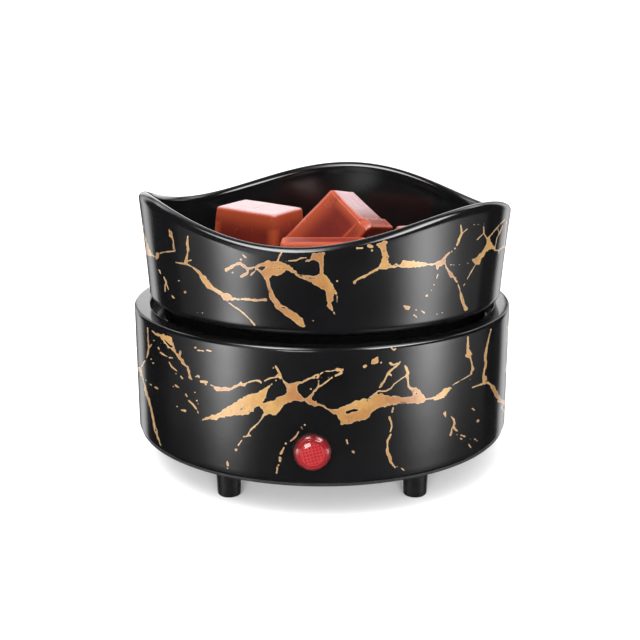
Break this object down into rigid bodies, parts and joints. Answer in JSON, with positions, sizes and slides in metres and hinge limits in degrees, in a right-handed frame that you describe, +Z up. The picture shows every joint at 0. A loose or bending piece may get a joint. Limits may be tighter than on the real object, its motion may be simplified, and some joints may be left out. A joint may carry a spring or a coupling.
{
  "type": "wax melt warmer",
  "caption": "Round glazed ceramic wax melt warmer: drum base with hot plate and lit push switch on four feet, and a lift-off dish with a wavy rim holding wax melts.",
  "frame": {"origin": "On the floor, under the centre of the base", "axes": "+Z up; the front with the red button faces -Y and the cord gland faces +Y; +X is to the right seen from the front"},
  "size_m": [0.13, 0.136, 0.0948],
  "materials": {
    "black_glaze": "glossy black glaze with fired gold marble veins",
    "plate_aluminium": "turned, satin",
    "seal_silicone": "grey silicone",
    "heater_ceramic": "unglazed white ceramic",
    "bracket_steel": "zinc-plated sheet",
    "screw_steel": "zinc-plated",
    "fuse_case": "tinned metal case",
    "insulation_fibre": "pressed ceramic fibre board",
    "contact_brass": "plain brass",
    "cover_paint": "black powder coat",
    "foot_rubber": "smooth black rubber",
    "black_plastic": "moulded black nylon",
    "terminal_plastic": "moulded ivory nylon",
    "lens_red": "translucent red, polished",
    "diffuser_red": "bright red with a fine square grid",
    "plunger_white": "moulded white acetal",
    "lamp_glass": "clear glass",
    "spring_steel": "bright wire",
    "lead_brown": "silicone wire sleeve",
    "lead_blue": "silicone wire sleeve",
    "lead_black": "silicone wire sleeve",
    "lead_red": "silicone wire sleeve",
    "wax_red": "smooth red-brown moulded wax",
    "gold_vein": "fired metallic gold decoration"
  },
  "bodies": {
    "root": {"base_shell": "black_glaze", "hot_plate": "plate_aluminium", "plate_seal": "seal_silicone", "ptc_heater": "heater_ceramic", "heater_clamp": "bracket_steel", "clamp_screws": "screw_steel", "thermal_fuse": "fuse_case", "fuse_strap": "bracket_steel", "fuse_strap_screw": "screw_steel", "insulation_disc": "insulation_fibre", "heat_shield": "bracket_steel", "shield_standoffs": "contact_brass", "shield_screws": "screw_steel", "bottom_cover": "cover_paint", "foot_front_left": "foot_rubber", "foot_front_right": "foot_rubber", "foot_rear_left": "foot_rubber", "foot_rear_right": "foot_rubber", "foot_screws": "screw_steel", "cord_gland": "black_plastic", "gland_nut": "black_plastic", "terminal_block": "terminal_plastic", "terminal_screws": "contact_brass", "switch_sleeve": "black_plastic", "switch_body": "black_plastic", "switch_contacts": "contact_brass", "button_spring": "spring_steel", "live_lead": "lead_brown", "neutral_lead": "lead_blue", "switched_lead": "lead_black", "heater_lead": "lead_red"},
    "dish": {"dish": "black_glaze"},
    "wax_melts": {"wax_melt_left": "wax_red", "wax_melt_tilted": "wax_red", "wax_melt_front": "wax_red", "wax_melt_right": "wax_red"},
    "button": {"button_lens": "lens_red", "button_diffuser": "diffuser_red", "button_plunger": "plunger_white", "button_lamp": "lamp_glass"}
  },
  "joints": [
    {"name": "dish_lift", "type": "slide", "parent": "root", "child": "dish", "axis": [0, 0, 1], "range_m": [0, 0.06]},
    {"name": "melts_lift", "type": "slide", "parent": "dish", "child": "wax_melts", "axis": [0, 0, 1], "range_m": [0, 0.05]},
    {"name": "button_press", "type": "slide", "parent": "root", "child": "button", "axis": [0, 1, 0], "range_m": [0, 0.002], "stiffness_N_per_m": 300, "springref_m": -0.002, "deforming": ["button_spring"]}
  ]
}
